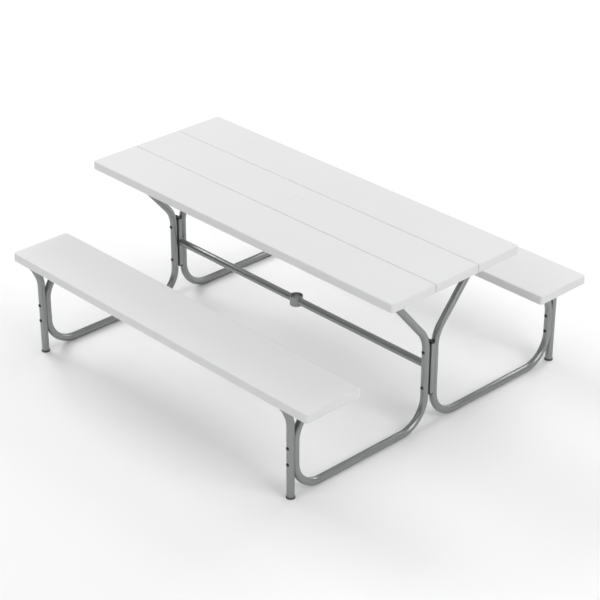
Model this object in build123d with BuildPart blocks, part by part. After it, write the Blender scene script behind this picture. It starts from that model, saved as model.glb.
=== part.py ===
from build123d import *
import os
from math import cos, radians, tan

# Picnic table with a bench along each side, on a bolted frame of round steel tube. Millimetres.
# Origin: on the floor under the middle of the table. +X runs along the table, +Y across it
# towards the rear bench, +Z up.

# Tabletop and seats: hollow blow-moulded boards
TABLE_LENGTH = 1804.0
TABLE_WIDTH = 724.0
TABLE_HEIGHT = 737.0
PLANK_GAP = 2.0
SEAT_LENGTH = 1811.0
SEAT_WIDTH = 286.0
SEAT_HEIGHT = 444.0
SEAT_CENTRE_Y = 665.0
BOARD_THICKNESS = 38.5
BOARD_WALL = 3.2
CORNER_RADIUS = 12.0
SEAM_CORNER_RADIUS = 6.0
TOP_EDGE_RADIUS = 5.0
BOTTOM_EDGE_RADIUS = 3.0

# Tack-off dimples: slots pressed up from below until they meet the top skin
DIMPLE_LENGTH = 110.0
END_DIMPLE_LENGTH = 56.0
DIMPLE_WIDTH = 36.0
DIMPLE_TAPER = 12.0
DIMPLE_PITCH = 140.0
DIMPLE_COLUMNS = 11
END_DIMPLE_X = 842.0
PLANK_ROW_OFFSET = 62.0
SEAT_ROW_OFFSET = 72.0
VENT_RADIUS = 3.5
VENT_X = 630.0

# Frame tube
TUBE_RADIUS = 16.0
TUBE_WALL = 1.5
FRAME_X = 774.7
COLUMN_Y = 25.5
RISER_Y = 741.0
BENCH_LEG_Y = 765.5
SPLAY_ANGLE = 40.7
SPLAY_CORNER_Z = 411.0
SPLAY_BEND = 140.0
FLOOR_BEND = 130.0
RISER_LEAN = 34.0
RISER_CORNER_Z = 281.5
RISER_BEND = 135.0
LEG_FLARE = 24.0
LEG_CORNER_Z = 345.5
LEG_BEND = 130.0
TRIM_EXTRA = 40.0
RISER_FLAT_Z = (60.0, 320.0)
LEG_FLAT_Z = (98.0, 290.0)
LEG_FLAT_SLOPE = 60.0

# Cross rails under the tabletop and straps under the seats
RAIL_LENGTH = 650.0
RAIL_WIDTH = 40.0
RAIL_DEPTH = 24.0
RAIL_WALL = 2.0
STRAP_WIDTH = 40.0
STRAP_THICKNESS = 5.0
STRAP_INNER_Y = 556.0
STRAP_OUTER_Y = 806.0
STRAP_CORNER = 6.0

# Column posts, stretcher and umbrella ring
POST_DEPTH_X = 38.0
POST_WIDTH_Y = 19.0
POST_WALL = 1.5
POST_CORNER = 5.0
POST_BOTTOM_Z = 149.0
POST_TOP_Z = 391.5
PLUG_FLANGE = 6.0
PLUG_INSERT = 14.0
STRETCHER_Z = 272.0
RING_X = 0.0
RING_OUTER_RADIUS = 28.5
RING_INNER_RADIUS = 25.5
RING_HEIGHT = 43.0

# Umbrella hole and its lift-out plug
HOLE_RADIUS = 23.0
LEDGE_RADIUS = 29.4
LEDGE_DEPTH = 3.5
LID_RADIUS = 29.0
LID_THICKNESS = 3.4
SKIRT_RADIUS = 22.6
SKIRT_DEPTH = 16.0
SKIRT_WALL = 2.0

# Fasteners
BOLT_RADIUS = 4.0
BOLT_HOLE_RADIUS = 4.3
HEAD_RADIUS = 7.4
HEAD_RISE = 2.2
HEAD_SKIRT = 2.0
HEAD_ROUNDING = 1.5
SOCKET_ACROSS_FLATS = 5.0
SOCKET_DEPTH = 1.5
INSERT_FLANGE_RADIUS = 6.8
INSERT_FLANGE_RISE = 0.8
INSERT_FLANGE_SKIRT = 1.6
INSERT_BODY_RADIUS = 5.4
INSERT_HOLE_RADIUS = 5.5
INSERT_DEPTH = 15.0
INSERT_BORE_RADIUS = 4.05
BOLT_TIP_RECESS = 0.6
SADDLE_RADIUS = 16.05
SADDLE_REACH = 9.0
COLUMN_BOLT_Z = (188.0, 352.0)
BENCH_BOLT_Z = (155.0, 228.0)
SCREW_RADIUS = 3.0
SCREW_HOLE_RADIUS = 3.3
SCREW_BITE = 26.0
SCREW_HEAD_RADIUS = 6.0
SCREW_HEAD_HEIGHT = 4.0
BOSS_RADIUS = 8.0
PLANK_SCREW_OFFSET = 60.0
SEAT_SCREW_Y = (585.0, 725.0)
FOOT_RADIUS = 18.8
FOOT_TAPER = 8.0
FOOT_HEIGHT = 9.0
FOOT_FLOOR = 4.0
FOOT_SPIGOT = 16.0
FIT_GAP = 0.1

# Worked out from the sizes above
PLANK_WIDTH = (TABLE_WIDTH - 2 * PLANK_GAP) / 3
PLANK_PITCH = PLANK_WIDTH + PLANK_GAP
TABLE_UNDERSIDE = TABLE_HEIGHT - BOARD_THICKNESS
SEAT_UNDERSIDE = SEAT_HEIGHT - BOARD_THICKNESS
SPLAY_TOP_Z = TABLE_UNDERSIDE - RAIL_WALL
SEAT_TUBE_TOP_Z = SEAT_UNDERSIDE - STRAP_THICKNESS
BENCH_SPLIT_Y = (RISER_Y + BENCH_LEG_Y) / 2

ENDS = (("left", -1), ("right", 1))
SIDES = (("front", -1), ("rear", 1))

os.makedirs("parts", exist_ok=True)


def save(builder, name):
    """Label a finished piece and write it as parts/NAME.step."""
    builder.part.label = name
    export_step(builder.part, f"parts/{name}.step")


def dimple_spots(row_offset):
    """Centres and lengths of a board's dimples, relative to the middle of the board."""
    spots = []
    for row in (-row_offset, row_offset):
        for column in range(DIMPLE_COLUMNS):
            x = (column - (DIMPLE_COLUMNS - 1) / 2) * DIMPLE_PITCH
            spots.append((x, row, DIMPLE_LENGTH))
        for end in (-1, 1):
            spots.append((end * END_DIMPLE_X, row, END_DIMPLE_LENGTH))
    return spots


def outline(length, width, front_radius, rear_radius):
    """Plan of a board: a rectangle with its front and rear corners rounded."""
    with BuildSketch() as plan:
        Rectangle(length, width)
        fillet(plan.vertices().group_by(Axis.Y)[0], front_radius)
        fillet(plan.vertices().group_by(Axis.Y)[-1], rear_radius)
    return plan.sketch


def board_cavity(size, radii, underside, centre_y, row_offset, screws, hole_x):
    """The air inside a blow-moulded board, between its skins and around dimples and bosses."""
    length, width = size
    inner = [radius - BOARD_WALL for radius in radii]
    clear_height = BOARD_THICKNESS - 2 * BOARD_WALL
    slant_wall = BOARD_WALL / cos(radians(DIMPLE_TAPER))
    with BuildPart() as air:
        with BuildSketch(Plane.XY.offset(underside + BOARD_WALL)):
            with Locations((0, centre_y)):
                add(outline(length - 2 * BOARD_WALL, width - 2 * BOARD_WALL, *inner))
        extrude(amount=clear_height)
        with BuildSketch(Plane.XY.offset(underside)):
            for x, row, slot in dimple_spots(row_offset):
                with Locations((x, centre_y + row)):
                    SlotOverall(slot + 2 * slant_wall, DIMPLE_WIDTH + 2 * slant_wall)
        extrude(amount=BOARD_THICKNESS, taper=DIMPLE_TAPER, mode=Mode.SUBTRACT)
        with BuildSketch(Plane.XY.offset(underside)):
            with Locations(*screws):
                Circle(BOSS_RADIUS)
            if hole_x is not None:
                with Locations((hole_x, centre_y)):
                    Circle(HOLE_RADIUS + BOARD_WALL)
        extrude(amount=BOARD_THICKNESS, mode=Mode.SUBTRACT)
        if hole_x is not None:
            ledge_z = underside + BOARD_THICKNESS - LEDGE_DEPTH - BOARD_WALL
            with BuildSketch(Plane.XY.offset(ledge_z)):
                with Locations((hole_x, centre_y)):
                    Circle(LEDGE_RADIUS + BOARD_WALL)
            extrude(amount=LEDGE_DEPTH + BOARD_WALL, mode=Mode.SUBTRACT)
    return air.part


def make_board(name, size, radii, underside, centre_y, row_offset, screws, hole_x=None):
    """A hollow board with rounded edges, dimples below, bosses and pilot holes for its screws."""
    length, width = size
    air = board_cavity(size, radii, underside, centre_y, row_offset, screws, hole_x)
    with BuildPart() as board:
        with BuildSketch(Plane.XY.offset(underside)):
            with Locations((0, centre_y)):
                add(outline(length, width, *radii))
        extrude(amount=BOARD_THICKNESS)
        fillet(board.faces().sort_by(Axis.Z)[-1].edges(), TOP_EDGE_RADIUS)
        fillet(board.faces().sort_by(Axis.Z)[0].edges(), BOTTOM_EDGE_RADIUS)
        with BuildSketch(Plane.XY.offset(underside)):
            for x, row, slot in dimple_spots(row_offset):
                with Locations((x, centre_y + row)):
                    SlotOverall(slot, DIMPLE_WIDTH)
        extrude(amount=BOARD_THICKNESS - BOARD_WALL, taper=DIMPLE_TAPER, mode=Mode.SUBTRACT)
        with BuildSketch(Plane.XY.offset(underside)):
            with Locations(*screws):
                Circle(SCREW_HOLE_RADIUS)
        extrude(amount=SCREW_BITE + 2, mode=Mode.SUBTRACT)
        with BuildSketch(Plane.XY.offset(underside)):
            with Locations((-VENT_X, centre_y), (VENT_X, centre_y)):
                Circle(VENT_RADIUS)
        extrude(amount=2 * BOARD_WALL, mode=Mode.SUBTRACT)
        add(air, mode=Mode.SUBTRACT)
        if hole_x is not None:
            with BuildSketch(Plane.XY.offset(underside)):
                with Locations((hole_x, centre_y)):
                    Circle(HOLE_RADIUS)
            extrude(amount=BOARD_THICKNESS, mode=Mode.SUBTRACT)
            with BuildSketch(Plane.XY.offset(underside + BOARD_THICKNESS - LEDGE_DEPTH)):
                with Locations((hole_x, centre_y)):
                    Circle(LEDGE_RADIUS)
            extrude(amount=LEDGE_DEPTH, mode=Mode.SUBTRACT)
    save(board, name)


def swept_rod(points, radii, radius, x):
    """A round rod of one radius along a path in the YZ plane at x, with its corners bent."""
    path_points = [(x, y, z) for y, z in points]
    with BuildPart() as rod:
        with BuildLine() as path:
            if radii:
                FilletPolyline(*path_points, radius=radii)
            else:
                Polyline(*path_points)
        with BuildSketch(path.line ^ 0):
            Circle(radius)
        sweep()
    return rod.part


def half_space(y_limit, direction, x, z_range, slope):
    """A block beyond y_limit, used to press a flat on a tube, with sloping ends."""
    low_z, high_z = z_range
    reach = 3 * TUBE_RADIUS
    far = y_limit + direction * reach
    with BuildPart() as block:
        with BuildSketch(Plane.YZ.offset(x)):
            with BuildLine():
                Polyline(
                    (y_limit, low_z),
                    (y_limit, high_z),
                    (far, high_z + slope),
                    (far, low_z - slope),
                    close=True,
                )
            make_face()
        extrude(amount=2 * TUBE_RADIUS, both=True)
    return block.part


# Tabletop planks: 3 equal boards side by side, screwed down to the rails from below.
for name, index in (("front", -1), ("middle", 0), ("rear", 1)):
    middle_y = index * PLANK_PITCH
    corner_radii = (
        CORNER_RADIUS if index < 0 else SEAM_CORNER_RADIUS,
        CORNER_RADIUS if index > 0 else SEAM_CORNER_RADIUS,
    )
    screw_spots = [
        (end * FRAME_X, middle_y + offset)
        for _, end in ENDS
        for offset in (-PLANK_SCREW_OFFSET, PLANK_SCREW_OFFSET)
    ]
    make_board(
        f"tabletop_plank_{name}",
        (TABLE_LENGTH, PLANK_WIDTH),
        corner_radii,
        TABLE_UNDERSIDE,
        middle_y,
        PLANK_ROW_OFFSET,
        screw_spots,
        RING_X if index == 0 else None,
    )

# Bench seats: one wide board each, screwed down to the seat straps.
for name, side in SIDES:
    screw_spots = [(end * FRAME_X, side * y) for _, end in ENDS for y in SEAT_SCREW_Y]
    make_board(
        f"bench_seat_{name}",
        (SEAT_LENGTH, SEAT_WIDTH),
        (CORNER_RADIUS, CORNER_RADIUS),
        SEAT_UNDERSIDE,
        side * SEAT_CENTRE_Y,
        SEAT_ROW_OFFSET,
        screw_spots,
    )

# Long leg tubes: from the rail, down the column, out along the floor and up to the seat.
# The riser is pressed flat on its outer side, where the short bench leg is bolted to it.
# Bolts run along +Y, so the last wall that each passes holds a threaded insert.
for end_name, end in ENDS:
    for side_name, side in SIDES:
        frame_x = end * FRAME_X
        splay = tan(radians(SPLAY_ANGLE))
        lean = tan(radians(RISER_LEAN))
        rail_z = SPLAY_TOP_Z + TRIM_EXTRA
        seat_z = SEAT_TUBE_TOP_Z + TRIM_EXTRA
        route = [
            (side * (COLUMN_Y + (rail_z - SPLAY_CORNER_Z) * splay), rail_z),
            (side * COLUMN_Y, SPLAY_CORNER_Z),
            (side * COLUMN_Y, TUBE_RADIUS),
            (side * RISER_Y, TUBE_RADIUS),
            (side * RISER_Y, RISER_CORNER_Z),
            (side * (RISER_Y - (seat_z - RISER_CORNER_Z) * lean), seat_z),
        ]
        bends = [SPLAY_BEND, FLOOR_BEND, FLOOR_BEND, RISER_BEND]
        skin = swept_rod(route, bends, TUBE_RADIUS, frame_x)
        bore = swept_rod(route, bends, TUBE_RADIUS - TUBE_WALL, frame_x)
        outer_flat = half_space(side * BENCH_SPLIT_Y, side, frame_x, RISER_FLAT_Z, 0)
        inner_split = side * (BENCH_SPLIT_Y - TUBE_WALL)
        inner_flat = half_space(inner_split, side, frame_x, RISER_FLAT_Z, 0)
        with BuildPart() as bore_flattened:
            add(bore)
            add(inner_flat, mode=Mode.SUBTRACT)
        with BuildPart() as leg_tube:
            add(skin)
            add(outer_flat, mode=Mode.SUBTRACT)
            add(bore_flattened.part, mode=Mode.SUBTRACT)
            split(bisect_by=Plane.XY.offset(SPLAY_TOP_Z), keep=Keep.BOTTOM)
            seat_end = Plane((frame_x, side * SEAT_CENTRE_Y, SEAT_TUBE_TOP_Z))
            with BuildSketch(seat_end):
                Rectangle(4 * TUBE_RADIUS, SEAT_WIDTH)
            extrude(amount=2 * TRIM_EXTRA, mode=Mode.SUBTRACT)
            for height in COLUMN_BOLT_Z:
                with BuildSketch(Plane.XZ):
                    with Locations((frame_x, height)):
                        Circle(BOLT_HOLE_RADIUS)
                extrude(amount=2 * TUBE_RADIUS + COLUMN_Y, both=True, mode=Mode.SUBTRACT)
            for height in BENCH_BOLT_Z:
                with BuildSketch(Plane.XZ.offset(-side * RISER_Y)):
                    with Locations((frame_x, height)):
                        Circle(BOLT_HOLE_RADIUS)
                extrude(amount=2 * TUBE_RADIUS, both=True, mode=Mode.SUBTRACT)
            insert_y = COLUMN_Y if side > 0 else -RISER_Y
            for height in COLUMN_BOLT_Z if side > 0 else BENCH_BOLT_Z:
                with BuildSketch(Plane.XZ.offset(-insert_y)):
                    with Locations((frame_x, height)):
                        Circle(INSERT_HOLE_RADIUS)
                extrude(amount=-2 * TUBE_RADIUS, mode=Mode.SUBTRACT)
        save(leg_tube, f"leg_tube_{end_name}_{side_name}")

# Short bench legs: straight up from the foot, flared at the top, pressed flat on the inner side.
for end_name, end in ENDS:
    for side_name, side in SIDES:
        frame_x = end * FRAME_X
        top_z = SEAT_TUBE_TOP_Z + TRIM_EXTRA
        flare = tan(radians(LEG_FLARE))
        route = [
            (side * BENCH_LEG_Y, FOOT_FLOOR),
            (side * BENCH_LEG_Y, LEG_CORNER_Z),
            (side * (BENCH_LEG_Y + (top_z - LEG_CORNER_Z) * flare), top_z),
        ]
        skin = swept_rod(route, [LEG_BEND], TUBE_RADIUS, frame_x)
        bore = swept_rod(route, [LEG_BEND], TUBE_RADIUS - TUBE_WALL, frame_x)
        outer_flat = half_space(
            side * BENCH_SPLIT_Y, -side, frame_x, LEG_FLAT_Z, LEG_FLAT_SLOPE
        )
        inner_split = side * (BENCH_SPLIT_Y + TUBE_WALL)
        inner_range = (LEG_FLAT_Z[0] - TUBE_WALL, LEG_FLAT_Z[1] + TUBE_WALL)
        inner_flat = half_space(inner_split, -side, frame_x, inner_range, LEG_FLAT_SLOPE)
        with BuildPart() as bore_flattened:
            add(bore)
            add(inner_flat, mode=Mode.SUBTRACT)
        with BuildPart() as bench_leg:
            add(skin)
            add(outer_flat, mode=Mode.SUBTRACT)
            add(bore_flattened.part, mode=Mode.SUBTRACT)
            split(bisect_by=Plane.XY.offset(SEAT_TUBE_TOP_Z), keep=Keep.BOTTOM)
            for height in BENCH_BOLT_Z:
                with BuildSketch(Plane.XZ.offset(-side * BENCH_LEG_Y)):
                    with Locations((frame_x, height)):
                        Circle(BOLT_HOLE_RADIUS)
                extrude(amount=2 * TUBE_RADIUS, both=True, mode=Mode.SUBTRACT)
            for height in BENCH_BOLT_Z if side > 0 else ():
                with BuildSketch(Plane.XZ.offset(-BENCH_LEG_Y)):
                    with Locations((frame_x, height)):
                        Circle(INSERT_HOLE_RADIUS)
                extrude(amount=-2 * TUBE_RADIUS, mode=Mode.SUBTRACT)
        save(bench_leg, f"bench_leg_{end_name}_{side_name}")

# Foot caps: a flared plastic cup over the tube's end, with a spigot inside it.
for end_name, end in ENDS:
    for side_name, side in SIDES:
        foot_spot = (end * FRAME_X, side * BENCH_LEG_Y)
        with BuildPart() as foot_cap:
            with BuildSketch():
                with Locations(foot_spot):
                    Circle(FOOT_RADIUS)
            extrude(amount=FOOT_HEIGHT, taper=FOOT_TAPER)
            fillet(foot_cap.edges().filter_by(GeomType.CIRCLE), 1.2)
            with BuildSketch(Plane.XY.offset(FOOT_FLOOR)):
                with Locations(foot_spot):
                    Circle(TUBE_RADIUS + FIT_GAP)
            extrude(amount=FOOT_HEIGHT, mode=Mode.SUBTRACT)
            with BuildSketch(Plane.XY.offset(FOOT_FLOOR)):
                with Locations(foot_spot):
                    Circle(TUBE_RADIUS - TUBE_WALL - FIT_GAP)
            extrude(amount=FOOT_SPIGOT)
        save(foot_cap, f"foot_cap_{end_name}_{side_name}")

# Column posts: rectangular tube between the two column tubes, which are bolted through it.
for end_name, end in ENDS:
    with BuildPart() as post:
        with BuildSketch(Plane.XY.offset(POST_BOTTOM_Z + PLUG_FLANGE)):
            with Locations((end * FRAME_X, 0)):
                RectangleRounded(POST_DEPTH_X, POST_WIDTH_Y, POST_CORNER)
                RectangleRounded(
                    POST_DEPTH_X - 2 * POST_WALL,
                    POST_WIDTH_Y - 2 * POST_WALL,
                    POST_CORNER - POST_WALL,
                    mode=Mode.SUBTRACT,
                )
        extrude(amount=POST_TOP_Z - POST_BOTTOM_Z - 2 * PLUG_FLANGE)
        with BuildSketch(Plane.XZ):
            with Locations(*[(end * FRAME_X, height) for height in COLUMN_BOLT_Z]):
                Circle(BOLT_HOLE_RADIUS)
        extrude(amount=POST_WIDTH_Y, both=True, mode=Mode.SUBTRACT)
    save(post, f"column_post_{end_name}")

# Post plugs: black plastic, a flange as large as the post and an insert that grips inside it.
for end_name, end in ENDS:
    for level, seat_z, direction in (
        ("bottom", POST_BOTTOM_Z + PLUG_FLANGE, 1),
        ("top", POST_TOP_Z - PLUG_FLANGE, -1),
    ):
        with BuildPart() as post_plug:
            with BuildSketch(Plane.XY.offset(seat_z)):
                with Locations((end * FRAME_X, 0)):
                    RectangleRounded(POST_DEPTH_X, POST_WIDTH_Y, POST_CORNER)
            extrude(amount=-direction * PLUG_FLANGE)
            outside = Axis.Z if direction < 0 else -Axis.Z
            fillet(post_plug.faces().sort_by(outside)[-1].edges(), 1.5)
            with BuildSketch(Plane.XY.offset(seat_z)):
                with Locations((end * FRAME_X, 0)):
                    RectangleRounded(
                        POST_DEPTH_X - 2 * POST_WALL - 2 * FIT_GAP,
                        POST_WIDTH_Y - 2 * POST_WALL - 2 * FIT_GAP,
                        POST_CORNER - POST_WALL,
                    )
            extrude(amount=direction * PLUG_INSERT)
        save(post_plug, f"post_plug_{end_name}_{level}")

# Stretcher tubes: from each post to the umbrella ring, with the inner end coped to the ring.
for end_name, end in ENDS:
    with BuildPart() as stretcher:
        with BuildSketch(Plane.YZ.offset(RING_X)):
            with Locations((0, STRETCHER_Z)):
                Circle(TUBE_RADIUS)
                Circle(TUBE_RADIUS - TUBE_WALL, mode=Mode.SUBTRACT)
        post_face = end * (FRAME_X - POST_DEPTH_X / 2)
        extrude(amount=post_face - RING_X)
        with BuildSketch(Plane.XY.offset(STRETCHER_Z - RING_HEIGHT)):
            with Locations((RING_X, 0)):
                Circle(RING_OUTER_RADIUS + 0.02)
        extrude(amount=2 * RING_HEIGHT, mode=Mode.SUBTRACT)
    save(stretcher, f"stretcher_tube_{end_name}")

# Umbrella ring: a short upright sleeve that the umbrella's pole passes through.
with BuildPart() as umbrella_ring:
    with BuildSketch(Plane.XY.offset(STRETCHER_Z - RING_HEIGHT / 2)):
        with Locations((RING_X, 0)):
            Circle(RING_OUTER_RADIUS)
            Circle(RING_INNER_RADIUS, mode=Mode.SUBTRACT)
    extrude(amount=RING_HEIGHT)
    fillet(umbrella_ring.edges().filter_by(GeomType.CIRCLE), 0.7)
save(umbrella_ring, "umbrella_ring")

# Umbrella hole plug: a thin lid on a ledge, with a hollow skirt that centres it in the hole.
with BuildPart() as hole_plug:
    with BuildSketch(Plane.XY.offset(TABLE_HEIGHT - LID_THICKNESS)):
        with Locations((RING_X, 0)):
            Circle(LID_RADIUS)
    extrude(amount=LID_THICKNESS)
    fillet(hole_plug.faces().sort_by(Axis.Z)[-1].edges(), 0.8)
    with BuildSketch(Plane.XY.offset(TABLE_HEIGHT - LID_THICKNESS)):
        with Locations((RING_X, 0)):
            Circle(SKIRT_RADIUS)
            Circle(SKIRT_RADIUS - SKIRT_WALL, mode=Mode.SUBTRACT)
    extrude(amount=-SKIRT_DEPTH)
save(hole_plug, "umbrella_hole_plug")

# Top rails: an upturned steel channel under the planks at each end; the splayed tubes are
# welded inside it, and the plank screws pass up through its web.
plank_screw_y = [
    index * PLANK_PITCH + offset
    for index in (-1, 0, 1)
    for offset in (-PLANK_SCREW_OFFSET, PLANK_SCREW_OFFSET)
]
for end_name, end in ENDS:
    with BuildPart() as top_rail:
        with BuildSketch(Plane.XZ):
            with Locations((end * FRAME_X, TABLE_UNDERSIDE - RAIL_DEPTH / 2)):
                Rectangle(RAIL_WIDTH, RAIL_DEPTH)
            with Locations((end * FRAME_X, TABLE_UNDERSIDE - RAIL_WALL - RAIL_DEPTH / 2)):
                Rectangle(RAIL_WIDTH - 2 * RAIL_WALL, RAIL_DEPTH, mode=Mode.SUBTRACT)
        extrude(amount=RAIL_LENGTH / 2, both=True)
        web_corners = top_rail.edges().filter_by(Axis.Y).group_by(Axis.Z)[-1]
        fillet(web_corners, RAIL_WALL)
        with BuildSketch(Plane.XY.offset(SPLAY_TOP_Z)):
            with Locations(*[(end * FRAME_X, y) for y in plank_screw_y]):
                Circle(SCREW_HOLE_RADIUS)
        extrude(amount=RAIL_WALL, mode=Mode.SUBTRACT)
    save(top_rail, f"top_rail_{end_name}")

# Seat straps: a flat steel bar across the tops of the riser and the short leg.
strap_length = STRAP_OUTER_Y - STRAP_INNER_Y
for end_name, end in ENDS:
    for side_name, side in SIDES:
        with BuildPart() as seat_strap:
            with BuildSketch(Plane.XY.offset(SEAT_TUBE_TOP_Z)):
                with Locations((end * FRAME_X, side * (STRAP_INNER_Y + strap_length / 2))):
                    RectangleRounded(STRAP_WIDTH, strap_length, STRAP_CORNER)
                with Locations(*[(end * FRAME_X, side * y) for y in SEAT_SCREW_Y]):
                    Circle(SCREW_HOLE_RADIUS, mode=Mode.SUBTRACT)
            extrude(amount=STRAP_THICKNESS)
        save(seat_strap, f"seat_strap_{end_name}_{side_name}")


def across(x, y, z):
    """A plane facing +Y at a point, for a bolt that runs across the table."""
    return Plane(origin=(x, y, z), x_dir=(1, 0, 0), z_dir=(0, 1, 0))


def make_through_bolts(prefix, spots, grip):
    """Bolts along +Y at (x, first tube's outer face y, z). Each has a low round head that is
    saddled to the first tube, and its tip sits in a threaded insert in the last tube wall."""
    with BuildPart() as bolts:
        for x, y, z in spots:
            with BuildPart() as bolt:
                with BuildSketch(across(x, y - HEAD_RISE, z)):
                    Circle(HEAD_RADIUS)
                extrude(amount=HEAD_RISE + HEAD_SKIRT)
                fillet(bolt.faces().sort_by(Axis.Y)[0].edges(), HEAD_ROUNDING)
                with BuildSketch(across(x, y - HEAD_RISE, z)):
                    RegularPolygon(SOCKET_ACROSS_FLATS / 2, 6, major_radius=False)
                extrude(amount=SOCKET_DEPTH, mode=Mode.SUBTRACT)
                with BuildSketch(Plane((x, y + TUBE_RADIUS, z - SADDLE_REACH))):
                    Circle(SADDLE_RADIUS)
                extrude(amount=2 * SADDLE_REACH, mode=Mode.SUBTRACT)
                with BuildSketch(across(x, y - HEAD_RISE + SOCKET_DEPTH, z)):
                    Circle(BOLT_RADIUS)
                extrude(amount=grip + HEAD_RISE - SOCKET_DEPTH - BOLT_TIP_RECESS)
    save(bolts, f"{prefix}_bolts")
    with BuildPart() as inserts:
        for x, y, z in spots:
            last_face = y + grip
            with BuildSketch(across(x, last_face + INSERT_FLANGE_RISE, z)):
                Circle(INSERT_FLANGE_RADIUS)
            extrude(amount=-(INSERT_FLANGE_RISE + INSERT_FLANGE_SKIRT))
            with BuildSketch(Plane((x, last_face - TUBE_RADIUS, z - SADDLE_REACH))):
                Circle(SADDLE_RADIUS)
            extrude(amount=2 * SADDLE_REACH, mode=Mode.SUBTRACT)
            with BuildSketch(across(x, last_face + INSERT_FLANGE_RISE, z)):
                Circle(INSERT_BODY_RADIUS)
            extrude(amount=-(INSERT_FLANGE_RISE + INSERT_DEPTH))
            with BuildSketch(across(x, last_face + INSERT_FLANGE_RISE, z)):
                Circle(INSERT_BORE_RADIUS)
            extrude(amount=-(INSERT_FLANGE_RISE + INSERT_DEPTH), mode=Mode.SUBTRACT)
    save(inserts, f"{prefix}_inserts")


column_faces = COLUMN_Y + TUBE_RADIUS
make_through_bolts(
    "column",
    [(end * FRAME_X, -column_faces, z) for _, end in ENDS for z in COLUMN_BOLT_Z],
    2 * column_faces,
)
bench_inner_face = RISER_Y - TUBE_RADIUS
bench_outer_face = BENCH_LEG_Y + TUBE_RADIUS
make_through_bolts(
    "bench",
    [
        (end * FRAME_X, first_face, z)
        for _, end in ENDS
        for first_face in (-bench_outer_face, bench_inner_face)
        for z in BENCH_BOLT_Z
    ],
    bench_outer_face - bench_inner_face,
)


def make_screws(name, spots, head_z, grip):
    """Pan-head screws that point up, with the head under z = head_z."""
    with BuildPart() as screws:
        with BuildSketch(Plane.XY.offset(head_z)):
            with Locations(*spots):
                Circle(SCREW_HEAD_RADIUS)
        extrude(amount=-SCREW_HEAD_HEIGHT)
        fillet(screws.faces().sort_by(Axis.Z).group_by(Axis.Z)[0].edges(), 2.5)
        with BuildSketch(Plane.XY.offset(head_z)):
            with Locations(*spots):
                Circle(SCREW_RADIUS)
        extrude(amount=grip + SCREW_BITE)
    save(screws, name)


make_screws(
    "plank_screws",
    [(end * FRAME_X, y) for _, end in ENDS for y in plank_screw_y],
    SPLAY_TOP_Z,
    RAIL_WALL,
)
make_screws(
    "seat_screws",
    [(end * FRAME_X, side * y) for _, end in ENDS for _, side in SIDES for y in SEAT_SCREW_Y],
    SEAT_TUBE_TOP_Z,
    STRAP_THICKNESS,
)
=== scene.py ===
import bmesh
import bpy
from math import cos, pi, radians, sin, sqrt, tan
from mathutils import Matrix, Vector


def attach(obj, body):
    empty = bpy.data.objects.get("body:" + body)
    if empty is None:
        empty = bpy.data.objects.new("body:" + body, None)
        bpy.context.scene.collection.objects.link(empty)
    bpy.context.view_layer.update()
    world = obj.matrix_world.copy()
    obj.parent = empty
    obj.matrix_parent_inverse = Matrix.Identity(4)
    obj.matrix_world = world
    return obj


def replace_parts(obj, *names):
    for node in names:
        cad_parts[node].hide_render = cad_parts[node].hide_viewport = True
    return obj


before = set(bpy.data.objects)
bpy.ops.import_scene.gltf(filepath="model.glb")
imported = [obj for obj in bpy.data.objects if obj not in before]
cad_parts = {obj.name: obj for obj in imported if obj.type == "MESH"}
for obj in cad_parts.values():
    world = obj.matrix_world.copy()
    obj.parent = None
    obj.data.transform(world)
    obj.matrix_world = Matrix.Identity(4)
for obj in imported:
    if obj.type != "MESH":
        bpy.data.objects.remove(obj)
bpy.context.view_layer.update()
scene = bpy.context.scene
scene.view_settings.view_transform = "Standard"

# ---------------------------------------------------------------------------------------------
# Camera. A long lens well above the tabletop, looking down along the front bench from one end,
# so that both benches, the end frames and the whole top are in view.
camera_lens = bpy.data.cameras.new("camera")
camera_lens.lens = 114.03
camera_lens.clip_end = 60.0
camera = bpy.data.objects.new("camera", camera_lens)
camera.location = (5.1682, -4.9090, 4.1282)
camera.rotation_euler = (radians(61.574), radians(-0.107), radians(46.408))
scene.collection.objects.link(camera)
scene.camera = camera

# ---------------------------------------------------------------------------------------------
# Boards. The tabletop is three hollow planks and each bench is one wide seat, all blow-moulded
# in white polyethylene: rounded edges, a fine matt grain, and rows of dimples pressed up from
# below until they meet the top skin, which is what makes a hollow board stiff.
board_thickness = 0.0385
top_edge_radius = 0.005
bottom_edge_radius = 0.003
outer_corner = 0.012
seam_corner = 0.006
plank_length = 1.804
plank_width = 0.240
plank_pitch = 0.242
tabletop_height = 0.737
seat_length = 1.811
seat_width = 0.286
seat_height = 0.444
seat_centre_y = 0.665
umbrella_x = 0.0
hole_radius = 0.023
ledge_radius = 0.0294
ledge_depth = 0.0035
plank_row_offset = 0.062
seat_row_offset = 0.072
plank_underside = tabletop_height - board_thickness
seat_underside = seat_height - board_thickness


def new_tree(kind, name, inputs, outputs):
    """A node tree with its named inputs (name, socket kind, starting value) and outputs."""
    tree = bpy.data.node_groups.new(name, kind)
    for label, socket_kind, start in inputs:
        socket_type = "NodeSocket" + socket_kind
        socket = tree.interface.new_socket(label, in_out="INPUT", socket_type=socket_type)
        if start is not None:
            socket.default_value = start
    for label, socket_kind in outputs:
        socket_type = "NodeSocket" + socket_kind
        tree.interface.new_socket(label, in_out="OUTPUT", socket_type=socket_type)
    given = tree.nodes.new("NodeGroupInput").outputs
    result = tree.nodes.new("NodeGroupOutput").inputs
    return tree, given, result


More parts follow.
